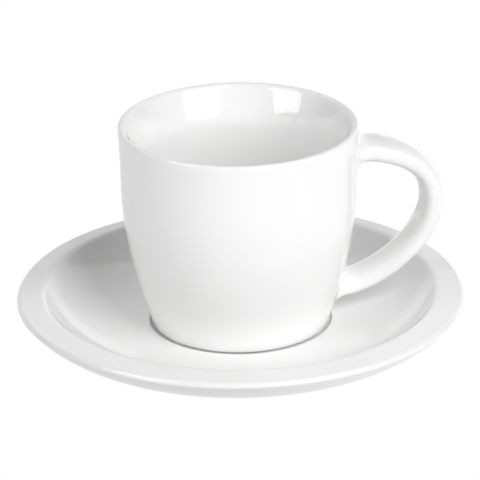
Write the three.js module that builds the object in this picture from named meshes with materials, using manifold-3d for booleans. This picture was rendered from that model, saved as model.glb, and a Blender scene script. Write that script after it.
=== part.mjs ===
// Cappuccino cup with saucer, in millimetres, +Z up.
// The saucer's foot ring stands on Z = 0, the cup stands on the saucer's seat, and the handle points along +X.
import * as THREE from 'three';
import { mergeVertices } from 'three/addons/utils/BufferGeometryUtils.js';
import Module from 'manifold-3d';

const wasm = await Module();
wasm.setup();

// Fineness of the facets
const turnSegments = 64;
const roundSteps = 4;
const seatSteps = 5;
const footSteps = 2;
const heelSteps = 3;
const flareSteps = 3;
const lipSteps = 5;
const wallSteps = 11;
const bowlSteps = 9;
const undersideSteps = 8;
const bandSteps = 24;
const rootSteps = 4;
const sectionSteps = 18;

// Saucer rim: a flange that falls a little from its crest to its rounded outer edge
const saucerRadius = 77.5;
const flangeWidth = 8.2;
const flangeFall = 1;
const crestRound = 2.4;
const edgeRound = 1.7;

// Saucer well: a wall that leans inwards from the crest and curves into a flat floor
const wellDepth = 11.4;
const wellFloorRadius = 34.5;
const wallLeanDegrees = 40;
const wallFallShare = 0.62;
const floorPullShare = 0.62;

// Saucer seat: a shallow recess in the floor of the well, in which the cup stands
const seatRecess = 1.1;
const seatRadius = 31.5;
const seatSlope = 1.2;

// Saucer underside: a flat middle, a foot ring, and a full curve out to the edge
const saucerFloor = 4.2;
const saucerFootRadius = 46.5;
const saucerFootWidth = 3.4;
const saucerFootHeight = 1.8;
const saucerFootDraft = 0.7;
const saucerFootRound = 0.5;
const undersideShares = [[0.42, 0.04], [0.83, 0.5]];

// Cup outside: from the heel the wall swells to the body's radius, stands straight, and flares at the lip
const cupHeight = 73;
const cupRadius = 40.5;
const lipFlare = 0.7;
const lipFlareReach = 6;
const straightWall = 19;
const heelRadius = 30.8;
const heelRound = 0.7;
const heelLeanDegrees = 18;
const heelPullShare = 0.23;
const wallPullShare = 0.48;

// Cup inside: a thick wall that thins to the lip in a soft flare, and a bowl that runs into a flat floor
const cupWall = 6.4;
const lipThickness = 2.6;
const lipTaper = 15;
const lipLeanDegrees = 25;
const lipPullShare = 0.8;
const cupFloor = 5.3;
const cupFloorRadius = 14;
const cupBowlShares = [[0.8, 0], [1, 0.47]];

// Cup foot ring, set in from the heel
const cupFootRadius = 28.4;
const cupFootWidth = 2.6;
const cupFootHeight = 1;
const cupFootDraft = 0.3;
const cupFootRecess = 1.3;

// Handle: a band whose centreline leaves the wall below the lip and comes back to it above the heel
const handleReach = 27.7;
const handleBelowLip = 12.3;
const handleAboveFoot = 10.2;
const handleBellyShare = 0.59;
const handleTopLeanDegrees = -6.5;
const handleLowLeanDegrees = -5.2;
const topPullShare = 0.23;
const bellyUpPullShare = 0.85;
const bellyDownPullShare = 0.6;
const lowPullShare = 0.31;

// Handle section: a soft rectangle, widest at the thumb, that spreads where it is stuck to the wall
const topWidth = 15.6;
const bellyWidth = 13.6;
const lowWidth = 14.4;
const topThickness = 8.5;
const bellyThickness = 7.2;
const lowThickness = 7.2;
const sectionSquareness = 2.5;
const rootSpread = 2.6;
const rootSideSpread = 1.3;
const rootSpreadLength = 4.8;
const rootSink = 4;

// Slip joint between the handle and the wall
const jointGap = 0.3;

// Heights that several pieces share
const seatHeight = saucerFootHeight + saucerFloor;
const wellFloor = seatHeight + seatRecess;
const crestHeight = wellFloor + wellDepth;
const straightHeight = cupHeight - straightWall;
const heelHeight = cupFootHeight + heelRound;

// A point of a profile: radius and height
function at(radius, height) {
  return new THREE.Vector2(radius, height);
}

// Places along a cubic curve from start to end, without its first point
function curve(start, startPull, endPull, end, steps) {
  const points = new THREE.CubicBezierCurve(start, startPull, endPull, end).getPoints(steps);
  return points.slice(1);
}

// The pull point that lies at the given shares of the way from one corner to the other
function between(low, high, share) {
  return at(
    THREE.MathUtils.lerp(low.x, high.x, share[0]),
    THREE.MathUtils.lerp(low.y, high.y, share[1]),
  );
}

// Places on a round corner, from one angle to another, both ends included
function round(centre, radius, fromDegrees, toDegrees, steps = roundSteps) {
  const points = [];
  for (let i = 0; i <= steps; i += 1) {
    const angle = THREE.MathUtils.degToRad(THREE.MathUtils.lerp(fromDegrees, toDegrees, i / steps));
    points.push(at(centre.x + radius * Math.cos(angle), centre.y + radius * Math.sin(angle)));
  }
  return points;
}

// A profile turned about the Z axis
function turned(profile) {
  const geometry = new THREE.LatheGeometry(profile, turnSegments);
  return geometry.rotateX(Math.PI / 2);
}

// A geometry as a solid that can be cut
function solidOf(geometry) {
  const bare = geometry.clone();
  bare.deleteAttribute('normal');
  bare.deleteAttribute('uv');
  const merged = mergeVertices(bare);
  const mesh = new wasm.Mesh({
    numProp: 3,
    vertProperties: merged.attributes.position.array,
    triVerts: new Uint32Array(merged.index.array),
  });
  return new wasm.Manifold(mesh);
}

// A cut solid as a geometry
function geometryOf(solid) {
  const mesh = solid.getMesh();
  const geometry = new THREE.BufferGeometry();
  geometry.setAttribute('position', new THREE.BufferAttribute(mesh.vertProperties, 3));
  geometry.setIndex(new THREE.BufferAttribute(mesh.triVerts, 1));
  geometry.computeVertexNormals();
  return geometry;
}

// White glazed porcelain
function porcelain(name) {
  return new THREE.MeshStandardMaterial({ name, color: 0xf3f3f1, roughness: 0.12, metalness: 0 });
}

// Saucer, from the middle of its underside round to the middle of its seat
function saucerProfile() {
  const crestRadius = saucerRadius - flangeWidth;
  const edgeCentre = at(saucerRadius - edgeRound, crestHeight - flangeFall - edgeRound);
  const crestCentre = at(crestRadius, crestHeight - crestRound);
  const footTop = at(saucerFootRadius + saucerFootDraft, saucerFootHeight);
  const footInside = saucerFootRadius - saucerFootWidth;
  const edgeLow = at(saucerRadius, edgeCentre.y);
  const wallLean = THREE.MathUtils.degToRad(wallLeanDegrees);
  const wallTop = at(
    crestCentre.x - crestRound * Math.cos(wallLean),
    crestCentre.y + crestRound * Math.sin(wallLean),
  );
  const wallFall = (wallTop.y - wellFloor) * wallFallShare;
  const floorEdge = at(wellFloorRadius, wellFloor);
  const recessTop = at(seatRadius + seatSlope / 2, wellFloor);
  const recessLow = at(seatRadius - seatSlope / 2, seatHeight);
  return [
    at(0, saucerFootHeight),
    at(footInside - saucerFootDraft, saucerFootHeight),
    ...round(at(footInside + saucerFootRound, saucerFootRound), saucerFootRound, 180, 270, footSteps),
    ...round(at(saucerFootRadius - saucerFootRound, saucerFootRound), saucerFootRound, 270, 360, footSteps),
    footTop,
    ...curve(
      footTop,
      between(footTop, edgeLow, undersideShares[0]),
      between(footTop, edgeLow, undersideShares[1]),
      edgeLow,
      undersideSteps,
    ),
    ...round(edgeCentre, edgeRound, 0, 90).slice(1),
    ...round(crestCentre, crestRound, 90, 180 - wallLeanDegrees),
    ...curve(
      wallTop,
      at(wallTop.x - wallFall * Math.tan(wallLean), wallTop.y - wallFall),
      between(floorEdge, wallTop, [floorPullShare, 0]),
      floorEdge,
      bowlSteps,
    ),
    recessTop,
    ...curve(recessTop, at(seatRadius, wellFloor), at(seatRadius, seatHeight), recessLow, seatSteps),
    at(0, seatHeight),
  ];
}

// Cup wall from the heel up to the side of the lip's round
function cupOutside() {
  const heelTop = at(heelRadius, heelHeight);
  const straightFoot = at(cupRadius, straightHeight);
  const flareFoot = at(cupRadius, cupHeight - lipFlareReach);
  const lipSide = at(cupRadius + lipFlare, cupHeight - lipThickness / 2);
  const flarePull = at(cupRadius, (flareFoot.y + lipSide.y) / 2);
  const rise = straightHeight - heelHeight;
  const lean = THREE.MathUtils.degToRad(heelLeanDegrees);
  const heelPull = rise * heelPullShare;
  return [
    heelTop,
    ...curve(
      heelTop,
      at(heelRadius + heelPull * Math.sin(lean), heelHeight + heelPull * Math.cos(lean)),
      at(cupRadius, straightHeight - rise * wallPullShare),
      straightFoot,
      wallSteps,
    ),
    flareFoot,
    ...curve(flareFoot, flarePull, flarePull, lipSide, flareSteps),
  ];
}

// Cup body, from the middle of its underside round to the middle of its floor
function cupProfile() {
  const lipRound = lipThickness / 2;
  const lipCentre = at(cupRadius + lipFlare - lipRound, cupHeight - lipRound);
  const lipLean = THREE.MathUtils.degToRad(lipLeanDegrees);
  const lipInside = at(
    lipCentre.x - lipRound * Math.cos(lipLean),
    lipCentre.y + lipRound * Math.sin(lipLean),
  );
  const footInside = cupFootRadius - cupFootWidth;
  const floorEdge = at(cupFloorRadius, cupFootRecess + cupFloor);
  const insideTop = at(cupRadius - cupWall, cupHeight - lipTaper);
  const lipCorner = at(insideTop.x, lipInside.y - (lipInside.x - insideTop.x) / Math.tan(lipLean));
  return [
    at(0, cupFootRecess),
    at(footInside - cupFootDraft, cupFootRecess),
    at(footInside, 0),
    at(cupFootRadius, 0),
    at(cupFootRadius + cupFootDraft, cupFootHeight),
    ...round(at(heelRadius - heelRound, heelHeight), heelRound, 270, 360, heelSteps).slice(0, -1),
    ...cupOutside(),
    ...round(lipCentre, lipRound, 0, 180 - lipLeanDegrees, 2 * roundSteps).slice(1),
    ...curve(
      lipInside,
      lipInside.clone().lerp(lipCorner, lipPullShare),
      insideTop.clone().lerp(lipCorner, lipPullShare),
      insideTop,
      lipSteps,
    ),
    ...curve(
      insideTop,
      between(floorEdge, insideTop, cupBowlShares[1]),
      between(floorEdge, insideTop, cupBowlShares[0]),
      floorEdge,
      bowlSteps,
    ),
    at(0, floorEdge.y),
  ];
}

// Space that the cup and the slip joint take from the handle
function cupEnvelope() {
  const lipRadius = cupRadius + lipFlare + jointGap;
  return turned([
    at(0, 0),
    at(heelRadius + jointGap, 0),
    ...cupOutside().map((point) => at(point.x + jointGap, point.y)),
    at(lipRadius, cupHeight),
    at(0, cupHeight),
  ]);
}

// Radius of the cup's outside at a height between the heel and the lip
function wallRadius(height) {
  const wall = [...cupOutside(), at(cupRadius + lipFlare, cupHeight)];
  const above = wall.findIndex((point) => point.y >= height);
  const share = (height - wall[above - 1].y) / (wall[above].y - wall[above - 1].y);
  return THREE.MathUtils.lerp(wall[above - 1].x, wall[above].x, share);
}

// Centreline of the handle in the XZ plane, from the upper root to the lower one
function handleCentreline() {
  const topHeight = cupHeight - handleBelowLip;
  const bellyHeight = THREE.MathUtils.lerp(handleAboveFoot, topHeight, handleBellyShare);
  const top = at(wallRadius(topHeight), topHeight);
  const low = at(wallRadius(handleAboveFoot), handleAboveFoot);
  const belly = at(cupRadius + handleReach, bellyHeight);
  const topLean = THREE.MathUtils.degToRad(handleTopLeanDegrees);
  const lowLean = THREE.MathUtils.degToRad(handleLowLeanDegrees);
  const topPull = (belly.x - top.x) * topPullShare;
  const lowPull = (belly.x - low.x) * lowPullShare;
  const topWay = at(Math.cos(topLean), Math.sin(topLean));
  const lowWay = at(Math.cos(lowLean), Math.sin(lowLean));
  const line = new THREE.CurvePath();
  line.add(new THREE.LineCurve(top.clone().addScaledVector(topWay, -rootSink), top));
  line.add(new THREE.CubicBezierCurve(
    top,
    top.clone().addScaledVector(topWay, topPull),
    at(belly.x, belly.y + (top.y - belly.y) * bellyUpPullShare),
    belly,
  ));
  line.add(new THREE.CubicBezierCurve(
    belly,
    at(belly.x, belly.y - (belly.y - low.y) * bellyDownPullShare),
    low.clone().addScaledVector(lowWay, lowPull),
    low,
  ));
  line.add(new THREE.LineCurve(low, low.clone().addScaledVector(lowWay, -rootSink)));
  return line;
}

// Distances along the centreline at which it has a section, closer together at the roots
function sectionDistances(length) {
  const bandStart = rootSink + rootSpreadLength;
  const distances = [0];
  for (let i = 0; i < rootSteps; i += 1) {
    distances.push(rootSink + rootSpreadLength * i / rootSteps);
  }
  const mirrored = distances.map((distance) => length - distance).reverse();
  for (let i = 0; i <= bandSteps; i += 1) {
    distances.push(THREE.MathUtils.lerp(bandStart, length - bandStart, i / bandSteps));
  }
  return [...distances, ...mirrored];
}

// How far the section has spread, as a share of its full spread, at a distance along the centreline
function spreadShareAt(distance, length) {
  const fromWall = Math.min(distance, length - distance) - rootSink;
  return THREE.MathUtils.clamp(1 - fromWall / rootSpreadLength, 0, 1) ** 2;
}

// A size of the section at a share of the way along the handle, eased through its three values
function sizeAt(share, top, belly, low) {
  return share < 1 / 2
    ? THREE.MathUtils.lerp(top, belly, THREE.MathUtils.smoothstep(2 * share, 0, 1))
    : THREE.MathUtils.lerp(belly, low, THREE.MathUtils.smoothstep(2 * share - 1, 0, 1));
}

// Outline of the handle's section, a soft rectangle of unit half sizes
function sectionPlace(step) {
  const angle = 2 * Math.PI * step / sectionSteps;
  const soften = (value) => Math.sign(value) * Math.abs(value) ** (2 / sectionSquareness);
  return at(soften(Math.cos(angle)), soften(Math.sin(angle)));
}

// The band, lofted along the centreline, with its ends closed
function handleBand() {
  const line = handleCentreline();
  const length = line.getLength();
  const distances = sectionDistances(length);
  const places = [];
  const faces = [];
  for (const distance of distances) {
    const share = distance / length;
    const centre = line.getPointAt(share);
    const along = line.getTangentAt(share);
    const spreadShare = spreadShareAt(distance, length);
    const thickness = sizeAt(share, topThickness, bellyThickness, lowThickness);
    const width = sizeAt(share, topWidth, bellyWidth, lowWidth);
    const out = at(-along.y, along.x).multiplyScalar(thickness / 2 + rootSpread * spreadShare);
    const side = width / 2 + rootSideSpread * spreadShare;
    for (let j = 0; j < sectionSteps; j += 1) {
      const place = sectionPlace(j);
      places.push(centre.x + out.x * place.x, side * place.y, centre.y + out.y * place.x);
    }
  }
  const last = (distances.length - 1) * sectionSteps;
  for (let i = 0; i < distances.length - 1; i += 1) {
    for (let j = 0; j < sectionSteps; j += 1) {
      const next = (j + 1) % sectionSteps;
      const a = i * sectionSteps + j;
      const b = i * sectionSteps + next;
      const c = a + sectionSteps;
      const d = b + sectionSteps;
      faces.push(a, d, b, a, c, d);
    }
  }
  for (let j = 1; j < sectionSteps - 1; j += 1) {
    faces.push(0, j, j + 1);
    faces.push(last, last + j + 1, last + j);
  }
  const geometry = new THREE.BufferGeometry();
  geometry.setAttribute('position', new THREE.Float32BufferAttribute(places, 3));
  geometry.setIndex(faces);
  return geometry;
}

// Saucer
const saucer = new THREE.Mesh(turned(saucerProfile()), porcelain('saucer_glaze'));
saucer.name = 'saucer';

// Cup body
const cupBody = new THREE.Mesh(turned(cupProfile()), porcelain('cup_glaze'));
cupBody.name = 'cup_body';

// Handle, trimmed to the cup's wall
const trimmed = solidOf(handleBand()).subtract(solidOf(cupEnvelope()));
const cupHandle = new THREE.Mesh(geometryOf(trimmed), porcelain('handle_glaze'));
cupHandle.name = 'cup_handle';

// The cup stands on the saucer's seat
const cup = new THREE.Group();
cup.add(cupBody, cupHandle);
cup.position.z = seatHeight;

const group = new THREE.Group();
group.add(saucer, cup);

export default group;
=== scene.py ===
import math

import bpy
from mathutils import Matrix, Vector


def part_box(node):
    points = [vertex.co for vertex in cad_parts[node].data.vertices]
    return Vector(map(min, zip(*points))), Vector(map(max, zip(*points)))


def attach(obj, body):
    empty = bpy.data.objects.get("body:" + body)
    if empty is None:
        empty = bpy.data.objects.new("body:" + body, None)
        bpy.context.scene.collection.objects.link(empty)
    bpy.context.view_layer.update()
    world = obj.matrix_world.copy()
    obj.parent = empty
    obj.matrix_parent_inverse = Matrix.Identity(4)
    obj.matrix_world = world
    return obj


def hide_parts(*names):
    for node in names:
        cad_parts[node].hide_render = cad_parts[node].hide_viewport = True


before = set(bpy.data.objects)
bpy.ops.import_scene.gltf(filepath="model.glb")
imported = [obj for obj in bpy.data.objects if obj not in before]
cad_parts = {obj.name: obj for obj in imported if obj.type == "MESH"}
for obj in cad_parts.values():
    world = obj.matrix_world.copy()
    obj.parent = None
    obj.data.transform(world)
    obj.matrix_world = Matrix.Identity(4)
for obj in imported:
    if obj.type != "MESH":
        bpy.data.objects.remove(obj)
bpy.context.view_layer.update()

MM = 0.001

# Fineness of the surfaces
TURN_STEPS = 240
CURVE_STEPS = 40
ROUND_STEPS = 8
FLARE_STEPS = 12
SECTION_STEPS = 56
HANDLE_STEPS = 90
FILLET_STEPS = 8
HALVINGS = 40

# Outer sizes, taken from the solids, whose lip flares a little more than the one here
solid_lip_flare = 0.7 * MM
_, saucer_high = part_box("saucer")
cup_low, cup_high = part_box("cup_body")
_, handle_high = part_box("cup_handle")
saucer_radius = saucer_high.x
crest_height = saucer_high.z
seat_height = cup_low.z
cup_height = cup_high.z - cup_low.z
cup_radius = cup_high.x - solid_lip_flare

# Saucer rim: a flange that falls a little from its crest to its rounded outer edge
flange_width = 8.2 * MM
flange_fall = 1.0 * MM
crest_round = 2.4 * MM
edge_round = 1.7 * MM

# Saucer well, the shallow recess in it that the cup stands in, and the underside
well_floor_radius = 34.5 * MM
wall_lean_degrees = 40
wall_fall_share = 0.62
floor_pull_share = 0.62
seat_recess = 1.1 * MM
seat_radius = 31.5 * MM
seat_slope = 1.2 * MM
saucer_foot_radius = 46.5 * MM
saucer_foot_width = 3.4 * MM
saucer_foot_height = 1.8 * MM
saucer_foot_draft = 0.7 * MM
saucer_foot_round = 0.5 * MM
saucer_bare_height = 0.25 * MM
underside_shares = ((0.42, 0.04), (0.83, 0.5))

# Cup: a thick wall, straight above its curve, that flares softly into a fine lip
lip_flare = 0.6 * MM
lip_flare_reach = 17.0 * MM
lip_flare_degrees = 4
lip_round = 0.9 * MM
lip_top = 2.4 * MM
lip_fall = 2.4 * MM
lip_taper = 15.0 * MM
lip_lean_degrees = 25
lip_pull_share = 0.7
cup_wall = 6.4 * MM
straight_wall = 19.0 * MM
heel_radius = 30.8 * MM
heel_round = 0.7 * MM
heel_lean_degrees = 18
heel_pull_share = 0.23
wall_pull_share = 0.48
cup_floor = 5.3 * MM
cup_floor_radius = 14.0 * MM
cup_bowl_shares = ((0.8, 0.0), (1.0, 0.47))
cup_foot_radius = 28.4 * MM
cup_foot_width = 2.6 * MM
cup_foot_height = 1.0 * MM
cup_foot_draft = 0.3 * MM
cup_foot_round = 0.25 * MM
cup_foot_recess = 1.3 * MM
cup_bare_height = 0.15 * MM

# Handle: a band that leaves the wall below the lip and comes back to it above the heel
handle_below_lip = 12.3 * MM
handle_above_foot = 10.2 * MM
handle_belly_share = 0.59
handle_top_lean_degrees = -6.5
handle_low_lean_degrees = -5.2
top_pull_share = 0.23
belly_up_pull_share = 0.85
belly_down_pull_share = 0.6
low_pull_share = 0.31
top_width = 15.6 * MM
belly_width = 13.6 * MM
low_width = 14.4 * MM
top_thickness = 8.5 * MM
belly_thickness = 7.2 * MM
low_thickness = 7.2 * MM
section_squareness = 2.5
root_sink = 4.0 * MM

# Fillets at its roots: how far they reach on the wall and on the band, at the band's outer, side
# and inner faces
top_fillet_wall = (5.8 * MM, 6.5 * MM, 4.2 * MM)
top_fillet_band = (7.0 * MM, 6.5 * MM, 4.6 * MM)
low_fillet_wall = (4.4 * MM, 6.0 * MM, 5.0 * MM)
low_fillet_band = (7.5 * MM, 6.0 * MM, 6.5 * MM)
root_skirt = 0.4 * MM
root_bury = 0.5 * MM

# Heights in the cup's own frame, which stands on the saucer's seat
lip_radius = cup_radius + lip_flare
straight_height = cup_height - straight_wall
heel_height = cup_foot_height + heel_round


def lerp(low, high, share):
    return low + (high - low) * share


def bezier(start, pull, end_pull, end, steps, first=False):
    """Places along a cubic curve, without its first point unless asked for."""
    places = []
    for i in range(0 if first else 1, steps + 1):
        t = i / steps
        s = 1 - t
        places.append(tuple(
            s ** 3 * a + 3 * s * s * t * b + 3 * s * t * t * c + t ** 3 * d
            for a, b, c, d in zip(start, pull, end_pull, end)
        ))
    return places


def between(low, high, share):
    return lerp(low[0], high[0], share[0]), lerp(low[1], high[1], share[1])


def arc(centre, radius, from_degrees, to_degrees):
    places = []
    for i in range(ROUND_STEPS + 1):
        angle = math.radians(lerp(from_degrees, to_degrees, i / ROUND_STEPS))
        places.append((centre[0] + radius * math.cos(angle), centre[1] + radius * math.sin(angle)))
    return places


def corner(before, at, after, radius, steps=4):
    """A corner of a profile, eased by a short curve of the given reach."""
    start = Vector(at) + (Vector(before) - Vector(at)).normalized() * radius
    end = Vector(at) + (Vector(after) - Vector(at)).normalized() * radius
    return bezier(tuple(start), at, at, tuple(end), steps, first=True)


def even(start, end, steps):
    """Places along a straight line, without its ends."""
    return [between(start, end, (i / steps, i / steps)) for i in range(1, steps)]


def saucer_profile():
    """Radius and height round the saucer, from the middle below to the middle of its seat."""
    crest_radius = saucer_radius - flange_width
    edge_centre = (saucer_radius - edge_round, crest_height - flange_fall - edge_round)
    crest_centre = (crest_radius, crest_height - crest_round)
    foot_top = (saucer_foot_radius + saucer_foot_draft, saucer_foot_height)
    foot_inside = saucer_foot_radius - saucer_foot_width
    inner_foot_top = (foot_inside - saucer_foot_draft, saucer_foot_height)
    edge_low = (saucer_radius, edge_centre[1])
    lean = math.radians(wall_lean_degrees)
    wall_top = (
        crest_radius - crest_round * math.cos(lean),
        crest_centre[1] + crest_round * math.sin(lean),
    )
    well_floor = seat_height + seat_recess
    wall_fall = (wall_top[1] - well_floor) * wall_fall_share
    floor_edge = (well_floor_radius, well_floor)
    recess_top = (seat_radius + seat_slope / 2, well_floor)
    recess_low = (seat_radius - seat_slope / 2, seat_height)
    inner_low = (foot_inside, saucer_foot_round)
    outer_low = (saucer_foot_radius, saucer_foot_round)
    underside_pull = between(foot_top, edge_low, underside_shares[0])
    return [
        (0, saucer_foot_height),
        *even((0, saucer_foot_height), inner_foot_top, 6),
        *corner((0, saucer_foot_height), inner_foot_top, inner_low, saucer_foot_round),
        *arc((foot_inside + saucer_foot_round, saucer_foot_round), saucer_foot_round, 180, 270),
        *arc(
            (saucer_foot_radius - saucer_foot_round, saucer_foot_round),
            saucer_foot_round, 270, 360,
        ),
        *corner(outer_low, foot_top, underside_pull, saucer_foot_round),
        *bezier(
            foot_top, underside_pull, between(foot_top, edge_low, underside_shares[1]),
            edge_low, CURVE_STEPS,
        )[1:],
        *arc(edge_centre, edge_round, 0, 90)[1:],
        *even((edge_centre[0], edge_centre[1] + edge_round), (crest_radius, crest_height), 4),
        *arc(crest_centre, crest_round, 90, 180 - wall_lean_degrees),
        *bezier(
            wall_top,
            (wall_top[0] - wall_fall * math.tan(lean), wall_top[1] - wall_fall),
            between(floor_edge, wall_top, (floor_pull_share, 0)),
            floor_edge, CURVE_STEPS,
        ),
        recess_top,
        *bezier(
            recess_top, (seat_radius, well_floor), (seat_radius, seat_height), recess_low,
            2 * ROUND_STEPS,
        ),
        *even(recess_low, (0, seat_height), 8),
        (0, seat_height),
    ]


def cup_outside():
    """Radius and height of the cup's wall, from the heel up to the side of the lip's round."""
    rise = straight_height - heel_height
    lean = math.radians(heel_lean_degrees)
    pull = rise * heel_pull_share
    straight_foot = (cup_radius, straight_height)
    flare = math.radians(lip_flare_degrees)
    flare_foot = (cup_radius, cup_height - lip_flare_reach)
    lip_side = (
        lip_radius - lip_round * (1 - math.cos(flare)),
        cup_height - lip_round * (1 + math.sin(flare)),
    )
    flare_pull = (lip_side[1] - flare_foot[1]) / 3
    return [
        *bezier(
            (heel_radius, heel_height),
            (heel_radius + pull * math.sin(lean), heel_height + pull * math.cos(lean)),
            (cup_radius, straight_height - rise * wall_pull_share),
            straight_foot, CURVE_STEPS, first=True,
        ),
        *even(straight_foot, flare_foot, 5),
        flare_foot,
        *bezier(
            flare_foot,
            (cup_radius, flare_foot[1] + flare_pull),
            (
                lip_side[0] - flare_pull * math.sin(flare),
                lip_side[1] - flare_pull * math.cos(flare),
            ),
            lip_side, FLARE_STEPS,
        ),
    ]


def cup_profile():
    """Radius and height round the cup, from the middle below to the middle of its floor."""
    lip_centre = (lip_radius - lip_round, cup_height - lip_round)
    foot_inside = cup_foot_radius - cup_foot_width
    inner_foot_top = (foot_inside - cup_foot_draft, cup_foot_recess)
    outer_foot_top = (cup_foot_radius + cup_foot_draft, cup_foot_height)
    floor_edge = (cup_floor_radius, cup_foot_recess + cup_floor)
    heel_low = (heel_radius - heel_round, cup_foot_height)
    lip_lean = math.radians(lip_lean_degrees)
    lip_crown = (lip_centre[0], cup_height)
    lip_inside = (lip_crown[0] - lip_top, cup_height - lip_fall)
    inside_top = (cup_radius - cup_wall, cup_height - lip_taper)
    lip_corner = (
        inside_top[0],
        lip_inside[1] - (lip_inside[0] - inside_top[0]) / math.tan(lip_lean),
    )
    lip_shares = (lip_pull_share, lip_pull_share)
    places = [
        (0, cup_foot_recess),
        *even((0, cup_foot_recess), inner_foot_top, 5),
        *corner((0, cup_foot_recess), inner_foot_top, (foot_inside, 0), cup_foot_round),
        *corner(inner_foot_top, (foot_inside, 0), (cup_foot_radius, 0), cup_foot_round),
        *corner((foot_inside, 0), (cup_foot_radius, 0), outer_foot_top, cup_foot_round),
        *corner((cup_foot_radius, 0), outer_foot_top, heel_low, cup_foot_round),
        *arc((heel_radius - heel_round, heel_height), heel_round, 270, 360)[:-1],
        *cup_outside(),
        *arc(lip_centre, lip_round, -lip_flare_degrees, 90)[1:],
        *bezier(
            lip_crown, (lip_crown[0] - lip_top / 2, cup_height),
            (lip_inside[0] + lip_fall / 2 * math.tan(lip_lean), cup_height - lip_fall / 2),
            lip_inside, 2 * ROUND_STEPS,
        ),
        *bezier(
            lip_inside, between(lip_inside, lip_corner, lip_shares),
            between(inside_top, lip_corner, lip_shares), inside_top, CURVE_STEPS,
        ),
        *bezier(
            inside_top,
            between(floor_edge, inside_top, cup_bowl_shares[1]),
            between(floor_edge, inside_top, cup_bowl_shares[0]),
            floor_edge, CURVE_STEPS,
        ),
        *even(floor_edge, (0, floor_edge[1]), 5),
        (0, floor_edge[1]),
    ]
    return [(radius, height + seat_height) for radius, height in places]


def smooth_piece(name, places, faces):
    mesh = bpy.data.meshes.new(name)
    mesh.from_pydata(places, [], faces)
    mesh.validate()
    mesh.polygons.foreach_set("use_smooth", [True] * len(mesh.polygons))
    piece = bpy.data.objects.new(name, mesh)
    bpy.context.scene.collection.objects.link(piece)
    return piece


def turned(name, profile):
    """A closed body: the profile, which starts and ends on the axis, turned about it."""
    rings = profile[1:-1]
    places = [(0, 0, profile[0][1])]
    for radius, height in rings:
        for j in range(TURN_STEPS):
            angle = 2 * math.pi * j / TURN_STEPS
            places.append((radius * math.cos(angle), radius * math.sin(angle), height))
    places.append((0, 0, profile[-1][1]))
    last = len(places) - 1
    final = 1 + (len(rings) - 1) * TURN_STEPS
    faces = []
    for j in range(TURN_STEPS):
        k = (j + 1) % TURN_STEPS
        faces.append((0, 1 + k, 1 + j))
        for i in range(len(rings) - 1):
            a = 1 + i * TURN_STEPS
            b = a + TURN_STEPS
            faces.append((a + j, a + k, b + k, b + j))
        faces.append((final + j, final + k, last))
    return smooth_piece(name, places, faces)


def wall_table():
    """Radius and height of the cup's outside from the heel to the lip, in the object's frame."""
    wall = [*cup_outside(), (lip_radius, cup_height)]
    return [(radius, height + seat_height) for radius, height in wall]


WALL = wall_table()


def wall_at(height):
    """Radius of the cup's outside at a height, and how fast it grows with the height."""
    for low, high in zip(WALL, WALL[1:]):
        if height <= high[1] or high is WALL[-1]:
            slope = (high[0] - low[0]) / (high[1] - low[1])
            return low[0] + slope * (height - low[1]), slope
    return WALL[-1][0], 0.0


def off_wall(place):
    """The distance of a place from the cup's outside, and the wall's direction there."""
    radius, slope = wall_at(place.z)
    steep = math.hypot(1, slope)
    flat = Vector((place.x, place.y, 0)).normalized()
    out = Vector((flat.x, flat.y, -slope)) / steep
    return (math.hypot(place.x, place.y) - radius) / steep, out


def handle_line():
    """Places on the handle's centreline in the XZ plane, from the upper root to the lower one."""
    top_z = cup_height - handle_below_lip
    belly_z = lerp(handle_above_foot, top_z, handle_belly_share)
    top = (wall_at(top_z + seat_height)[0], top_z + seat_height)
    low = (wall_at(handle_above_foot + seat_height)[0], handle_above_foot + seat_height)
    belly = (handle_high.x - belly_thickness / 2, belly_z + seat_height)
    top_lean = math.radians(handle_top_lean_degrees)
    low_lean = math.radians(handle_low_lean_degrees)
    top_way = (math.cos(top_lean), math.sin(top_lean))
    low_way = (math.cos(low_lean), math.sin(low_lean))
    top_pull = (belly[0] - top[0]) * top_pull_share
    low_pull = (belly[0] - low[0]) * low_pull_share

    def off(place, way, length):
        return place[0] + way[0] * length, place[1] + way[1] * length

    steps = 4 * CURVE_STEPS
    return [
        off(top, top_way, -root_sink),
        *bezier(
            top, off(top, top_way, top_pull),
            (belly[0], belly[1] + (top[1] - belly[1]) * belly_up_pull_share), belly, steps,
            first=True,
        ),
        *bezier(
            belly, (belly[0], belly[1] - (belly[1] - low[1]) * belly_down_pull_share),
            off(low, low_way, low_pull), low, steps,
        ),
        off(low, low_way, -root_sink),
    ]


class Line:
    """A line that gives its place and direction at a length travelled along it."""

    def __init__(self, places):
        self.places = [Vector(place) for place in places]
        self.lengths = [0.0]
        for a, b in zip(self.places, self.places[1:]):
            self.lengths.append(self.lengths[-1] + (b - a).length)
        self.length = self.lengths[-1]

    def at(self, length):
        i = 1
        while i < len(self.lengths) - 1 and self.lengths[i] < length:
            i += 1
        a, b = self.places[i - 1], self.places[i]
        share = (length - self.lengths[i - 1]) / (self.lengths[i] - self.lengths[i - 1])
        return a.lerp(b, share)

    def along(self, length, reach=0.4 * MM):
        return (self.at(length + reach) - self.at(length - reach)).normalized()


def ease(share):
    share = min(1, max(0, share))
    return share * share * (3 - 2 * share)


def size_at(share, top, belly, low):
    if share < 0.5:
        return lerp(top, belly, ease(2 * share))
    return lerp(belly, low, ease(2 * share - 1))


def centre_on_wall(line, start, end):
    """Where the centreline meets the cup's wall, between two lengths."""
    for _ in range(HALVINGS):
        middle = (start + end) / 2
        flat = line.at(middle)
        if off_wall(Vector((flat.x, 0, flat.y)))[0] < 0:
            start = middle
        else:
            end = middle
    flat = line.at(start)
    return Vector((flat.x, 0, flat.y))


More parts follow.
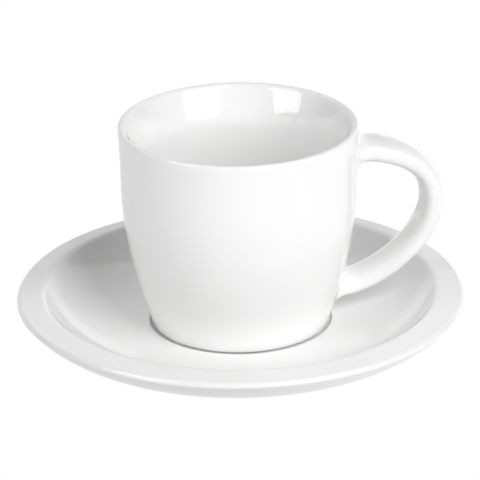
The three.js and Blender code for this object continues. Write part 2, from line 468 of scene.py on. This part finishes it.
def handle_surface():
    """Columns of places from the upper root to the lower one, with fillets into the cup's wall."""
    line = Line(handle_line())

    def surface(length, angle):
        share = length / line.length
        centre = line.at(length)
        way = line.along(length)
        half_thickness = size_at(share, top_thickness, belly_thickness, low_thickness) / 2
        half_width = size_at(share, top_width, belly_width, low_width) / 2
        out = math.copysign(abs(math.cos(angle)) ** (2 / section_squareness), math.cos(angle))
        side = math.copysign(abs(math.sin(angle)) ** (2 / section_squareness), math.sin(angle))
        flat = centre + Vector((-way.y, way.x)) * half_thickness * out
        return Vector((flat.x, half_width * side, flat.y))

    def length_at(angle, distance, start, end):
        """Where a generator of the band is at a distance from the wall, between two lengths."""
        for _ in range(HALVINGS):
            middle = (start + end) / 2
            if off_wall(surface(middle, angle))[0] < distance:
                start = middle
            else:
                end = middle
        return (start + end) / 2

    def fillet(angle, inner, outer, centre, reach):
        """Places of a fillet from a skirt under the wall's skin to the band."""
        edge = surface(inner, angle)
        end = surface(outer, angle)
        rise, wall_way = off_wall(end)
        outwards = edge - centre
        outwards -= wall_way * outwards.dot(wall_way)
        outwards.normalize()
        foot = edge + outwards * reach
        places = []
        for i in range(FILLET_STEPS + 1):
            t = i / FILLET_STEPS
            place = foot * (1 - t) ** 2 + edge * 2 * t * (1 - t) + end * t * t
            away, out = off_wall(place)
            places.append(place + out * (rise * t * t - away))
        skirt = []
        for depth in (root_bury, root_skirt / 10):
            place = foot + outwards * root_skirt
            away, out = off_wall(place)
            skirt.append(place - out * (away + depth))
        return [*skirt, *places]

    def fillet_reach(angle, reaches):
        """A fillet's reach at an angle round the band, from those at its three faces."""
        outer, side, inner = reaches
        across = math.cos(angle)
        return lerp(side, outer if across > 0 else inner, across * across)

    reach = 6 * root_sink
    middle = line.length / 2
    top_centre = centre_on_wall(line, 0, reach)
    low_centre = centre_on_wall(line, line.length, line.length - reach)
    columns = []
    for j in range(SECTION_STEPS):
        angle = 2 * math.pi * j / SECTION_STEPS
        top_inner = length_at(angle, 0, 0, middle)
        top_outer = length_at(angle, fillet_reach(angle, top_fillet_band), 0, middle)
        low_inner = length_at(angle, 0, line.length, middle)
        low_outer = length_at(angle, fillet_reach(angle, low_fillet_band), line.length, middle)
        top_reach = fillet_reach(angle, top_fillet_wall)
        low_reach = fillet_reach(angle, low_fillet_wall)
        column = fillet(angle, top_inner, top_outer, top_centre, top_reach)
        for i in range(1, HANDLE_STEPS):
            column.append(surface(lerp(top_outer, low_outer, i / HANDLE_STEPS), angle))
        column.extend(reversed(fillet(angle, low_inner, low_outer, low_centre, low_reach)))
        columns.append(column)
    return columns


def handle_piece(name):
    columns = handle_surface()
    rows = len(columns[0])
    places = [tuple(column[i]) for i in range(rows) for column in columns]
    faces = []
    for i in range(rows - 1):
        for j in range(SECTION_STEPS):
            k = (j + 1) % SECTION_STEPS
            a = i * SECTION_STEPS
            b = a + SECTION_STEPS
            faces.append((a + j, a + k, b + k, b + j))
    faces.append(tuple(reversed(range(SECTION_STEPS))))
    last = (rows - 1) * SECTION_STEPS
    faces.append(tuple(last + j for j in range(SECTION_STEPS)))
    return smooth_piece(name, places, faces)


# Materials: scales of the noises in waves per metre, tones as grey ramps over a noise
GLAZE_IOR = 1.55
GLAZE_TONES = ((0.3, (0.925, 0.925, 0.922, 1)), (0.7, (0.945, 0.945, 0.943, 1)))
GLAZE_ROUGHNESS = (0.04, 0.08)
CLOUD_SCALE = 22
HAZE_SCALE = 60
RIPPLE_SCALE = 45
RIPPLE_HEIGHT = 0.4 * MM
RIPPLE_STRENGTH = 0.06
PINHOLE_SCALE = 900
PINHOLE_DEPTH = 0.05 * MM
PINHOLE_STRENGTH = 0.05
BARE_IOR = 1.5
BARE_SPECULAR = 0.3
BARE_TONES = ((0.35, (0.70, 0.68, 0.64, 1)), (0.65, (0.80, 0.785, 0.75, 1)))
BARE_ROUGHNESS = (0.6, 0.85)
GRAIN_SCALE = 1400
GRAIN_HEIGHT = 0.08 * MM
GRAIN_STRENGTH = 0.4
NOISE_RANGE = (0.3, 0.7)


def new_material(name):
    material = bpy.data.materials.new(name)
    material.use_nodes = True
    tree = material.node_tree
    shader = tree.nodes["Principled BSDF"]
    return material, tree, shader


def noise(tree, scale, detail, coordinates):
    node = tree.nodes.new("ShaderNodeTexNoise")
    node.inputs["Scale"].default_value = scale
    node.inputs["Detail"].default_value = detail
    tree.links.new(coordinates, node.inputs["Vector"])
    return node.outputs["Fac"]


def ramp(tree, factor, stops):
    node = tree.nodes.new("ShaderNodeValToRGB")
    for element, (position, color) in zip(node.color_ramp.elements, stops):
        element.position = position
        element.color = color
    tree.links.new(factor, node.inputs["Fac"])
    return node.outputs["Color"]


def map_range(tree, value, source, target, interpolation="LINEAR"):
    """A value of one range, taken to another."""
    node = tree.nodes.new("ShaderNodeMapRange")
    node.interpolation_type = interpolation
    node.inputs["From Min"].default_value = source[0]
    node.inputs["From Max"].default_value = source[1]
    node.inputs["To Min"].default_value = target[0]
    node.inputs["To Max"].default_value = target[1]
    tree.links.new(value, node.inputs["Value"])
    return node.outputs["Result"]


def bump(tree, height, distance, strength, normal=None):
    node = tree.nodes.new("ShaderNodeBump")
    node.inputs["Distance"].default_value = distance
    node.inputs["Strength"].default_value = strength
    tree.links.new(height, node.inputs["Height"])
    if normal:
        tree.links.new(normal, node.inputs["Normal"])
    return node.outputs["Normal"]


def glazed_porcelain(name):
    """White porcelain under a clear glaze: faint clouds of tone, a slow ripple, fine pinholes."""
    material, tree, shader = new_material(name)
    place = tree.nodes.new("ShaderNodeTexCoord").outputs["Object"]
    shader.inputs["IOR"].default_value = GLAZE_IOR
    tones = ramp(tree, noise(tree, CLOUD_SCALE, 3, place), GLAZE_TONES)
    gloss = map_range(tree, noise(tree, HAZE_SCALE, 4, place), NOISE_RANGE, GLAZE_ROUGHNESS)
    ripple = noise(tree, RIPPLE_SCALE, 2, place)
    pinholes = noise(tree, PINHOLE_SCALE, 2, place)
    skin = bump(tree, ripple, RIPPLE_HEIGHT, RIPPLE_STRENGTH)
    skin = bump(tree, pinholes, PINHOLE_DEPTH, PINHOLE_STRENGTH, skin)
    tree.links.new(tones, shader.inputs["Base Color"])
    tree.links.new(gloss, shader.inputs["Roughness"])
    tree.links.new(skin, shader.inputs["Normal"])
    return material


def bare_porcelain(name):
    """The unglazed, ground foot that the pieces are fired on."""
    material, tree, shader = new_material(name)
    place = tree.nodes.new("ShaderNodeTexCoord").outputs["Object"]
    shader.inputs["IOR"].default_value = BARE_IOR
    shader.inputs["Specular IOR Level"].default_value = BARE_SPECULAR
    grain = noise(tree, GRAIN_SCALE, 3, place)
    gloss = map_range(tree, grain, NOISE_RANGE, BARE_ROUGHNESS)
    tree.links.new(ramp(tree, grain, BARE_TONES), shader.inputs["Base Color"])
    tree.links.new(gloss, shader.inputs["Roughness"])
    tree.links.new(bump(tree, grain, GRAIN_HEIGHT, GRAIN_STRENGTH), shader.inputs["Normal"])
    return material


def bare_foot(piece, material, height, width, outer):
    """Leaves the lowest band of a foot ring bare, up to a height."""
    piece.data.materials.append(material)
    inner = outer - width
    for face in piece.data.polygons:
        radius = math.hypot(face.center.x, face.center.y)
        if face.center.z < height and inner < radius < outer:
            face.material_index = 1


# Pieces
glaze = {
    "saucer": glazed_porcelain("saucer_glaze_surface"),
    "cup": glazed_porcelain("cup_glaze_surface"),
    "handle": glazed_porcelain("handle_glaze_surface"),
}
bare = bare_porcelain("bare_foot_surface")

saucer = turned("saucer_glazed", saucer_profile())
saucer.data.materials.append(glaze["saucer"])
bare_foot(saucer, bare, saucer_bare_height, saucer_foot_width, saucer_foot_radius)
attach(saucer, "saucer")
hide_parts("saucer")

cup_body = turned("cup_body_glazed", cup_profile())
cup_body.data.materials.append(glaze["cup"])
bare_foot(cup_body, bare, seat_height + cup_bare_height, cup_foot_width, cup_foot_radius)
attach(cup_body, "cup")
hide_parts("cup_body")

cup_handle = handle_piece("cup_handle_glazed")
cup_handle.data.materials.append(glaze["handle"])
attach(cup_handle, "cup")
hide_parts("cup_handle")


# Floor: seen by the camera alone. What it would throw back comes from the lower half of the world
FLOOR_HALF = 6.0


def white_floor(name):
    """Overlit white paper, clear when it is seen from below."""
    material = bpy.data.materials.new(name)
    material.use_nodes = True
    tree = material.node_tree
    tree.nodes.clear()
    paper = tree.nodes.new("ShaderNodeEmission")
    paper.inputs["Color"].default_value = (1, 1, 1, 1)
    paper.inputs["Strength"].default_value = 1.0
    clear = tree.nodes.new("ShaderNodeBsdfTransparent")
    mix = tree.nodes.new("ShaderNodeMixShader")
    out = tree.nodes.new("ShaderNodeOutputMaterial")
    tree.links.new(tree.nodes.new("ShaderNodeNewGeometry").outputs["Backfacing"], mix.inputs["Fac"])
    tree.links.new(paper.outputs[0], mix.inputs[1])
    tree.links.new(clear.outputs[0], mix.inputs[2])
    tree.links.new(mix.outputs[0], out.inputs["Surface"])
    return material


floor = smooth_piece(
    "floor",
    [(-FLOOR_HALF, -FLOOR_HALF, 0), (FLOOR_HALF, -FLOOR_HALF, 0),
     (FLOOR_HALF, FLOOR_HALF, 0), (-FLOOR_HALF, FLOOR_HALF, 0)],
    [(0, 1, 2, 3)],
)
floor.data.materials.append(white_floor("floor_paper"))
floor.visible_diffuse = False
floor.visible_glossy = False
floor.visible_transmission = False
floor.visible_shadow = False


# Studio light: two soft boxes in front, a lit paper wall behind, a dim room, and pale paper below.
# Azimuths and elevations are in degrees: azimuth 0 is the side of the camera and 90 its right
CAMERA_AZIMUTH = -12.0
BOX_AIM = Vector((0, 0, 0.5 * (seat_height + cup_height)))
BOX_DISTANCE = 1.5

# Name, azimuth, elevation, width, height and radiance of each soft box
SOFT_BOXES = (
    ("right_box", 41, 33, 1.02, 1.32, 5.0),
    ("left_box", -56.3, 32, 0.78, 0.92, 3.8),
)

# Name, lowest height, highest height and radiance of each part of the wall
WALL_PARTS = (
    ("wall_base", -0.3, 0.6, 0.95),
    ("wall_top", 0.6, 2.75, 0.69),
)
WALL_AZIMUTH = 185
WALL_DISTANCE = 2.0
WALL_WIDTH = 5.5

# The paper gives way to the room between two heights of a direction, and throws more light from
# one way: more and more from the first to the second cosine of the angle to that way
ROOM_RADIANCE = 0.05
PAPER_RADIANCE = 0.74
HORIZON_HEIGHTS = (-0.15, 0.03)
PAPER_GAIN = 0.3
GAIN_WAY = (140, -20)
GAIN_COSINES = (0.5, 1.0)


def toward(azimuth, elevation):
    """A direction away from the cup."""
    a, e = math.radians(azimuth + CAMERA_AZIMUTH), math.radians(elevation)
    return Vector((math.sin(a) * math.cos(e), -math.cos(a) * math.cos(e), math.sin(e)))


def room_light():
    """Light from all round: what the paper below throws back, and the room above."""
    world = bpy.data.worlds.new("studio")
    bpy.context.scene.world = world
    world.use_nodes = True
    tree = world.node_tree
    back = tree.nodes["Background"]
    back.inputs["Color"].default_value = (1, 1, 1, 1)
    from_all_round = tree.nodes.new("ShaderNodeTexCoord").outputs["Generated"]
    way = tree.nodes.new("ShaderNodeSeparateXYZ")
    tree.links.new(from_all_round, way.inputs[0])
    fade = map_range(
        tree, way.outputs["Z"], HORIZON_HEIGHTS, (PAPER_RADIANCE, ROOM_RADIANCE), "SMOOTHSTEP",
    )
    nearness = tree.nodes.new("ShaderNodeVectorMath")
    nearness.operation = "DOT_PRODUCT"
    nearness.inputs[1].default_value = toward(*GAIN_WAY)
    tree.links.new(from_all_round, nearness.inputs[0])
    gain = map_range(
        tree, nearness.outputs["Value"], GAIN_COSINES, (1.0, 1.0 + PAPER_GAIN), "SMOOTHSTEP",
    )
    strength = tree.nodes.new("ShaderNodeMath")
    strength.operation = "MULTIPLY"
    tree.links.new(fade, strength.inputs[0])
    tree.links.new(gain, strength.inputs[1])
    tree.links.new(strength.outputs["Value"], back.inputs["Strength"])


def soft_lamp(name, place, way, width, height, radiance):
    """A rectangle of even light that stands at a place and faces along a way."""
    data = bpy.data.lights.new(name, "AREA")
    data.shape = "RECTANGLE"
    data.size = width
    data.size_y = height
    data.energy = radiance * math.pi * width * height
    lamp = bpy.data.objects.new(name, data)
    bpy.context.scene.collection.objects.link(lamp)
    lamp.rotation_mode = "QUATERNION"
    lamp.location = place
    lamp.rotation_quaternion = way.to_track_quat("-Z", "Y")


def studio_light():
    room_light()
    for name, azimuth, elevation, width, height, radiance in SOFT_BOXES:
        away = toward(azimuth, elevation)
        soft_lamp(name, BOX_AIM + away * BOX_DISTANCE, -away, width, height, radiance)
    behind = toward(WALL_AZIMUTH, 0)
    for name, low, high, radiance in WALL_PARTS:
        middle = behind * WALL_DISTANCE + Vector((0, 0, (low + high) / 2))
        soft_lamp(name, middle, -behind, WALL_WIDTH, high - low, radiance)


studio_light()

# Camera: the photograph's place, found from the outlines of the rims and the foot
CAMERA_ELEVATION = 22.793
CAMERA_ROLL = -0.831
CAMERA_DISTANCE = 1.17749
CAMERA_AIM_HEIGHT = 35.824 * MM
CAMERA_AIM_RIGHT = 0.128 * MM
LENS_PIXELS = 3409.445
FRAME_PIXELS = 480
SENSOR_WIDTH = 36
CLIP_START = 0.01
CLIP_END = 50


def make_camera():
    azimuth = math.radians(CAMERA_AZIMUTH)
    elevation = math.radians(CAMERA_ELEVATION)
    roll = math.radians(CAMERA_ROLL)
    right = Vector((math.cos(azimuth), math.sin(azimuth), 0))
    back = Vector((
        math.sin(azimuth) * math.cos(elevation),
        -math.cos(azimuth) * math.cos(elevation),
        math.sin(elevation),
    ))
    up = back.cross(right)
    across = right * math.cos(roll) + up * math.sin(roll)
    upright = up * math.cos(roll) - right * math.sin(roll)
    data = bpy.data.cameras.new("camera")
    data.sensor_width = SENSOR_WIDTH
    data.lens = LENS_PIXELS / FRAME_PIXELS * SENSOR_WIDTH
    data.clip_start = CLIP_START
    data.clip_end = CLIP_END
    camera = bpy.data.objects.new("camera", data)
    bpy.context.scene.collection.objects.link(camera)
    aim = Vector((0, 0, CAMERA_AIM_HEIGHT)) + right * CAMERA_AIM_RIGHT
    turn = Matrix((across, upright, back)).transposed().to_4x4()
    camera.matrix_world = Matrix.Translation(aim + back * CAMERA_DISTANCE) @ turn
    bpy.context.scene.camera = camera


make_camera()
bpy.context.scene.view_settings.view_transform = "Standard"
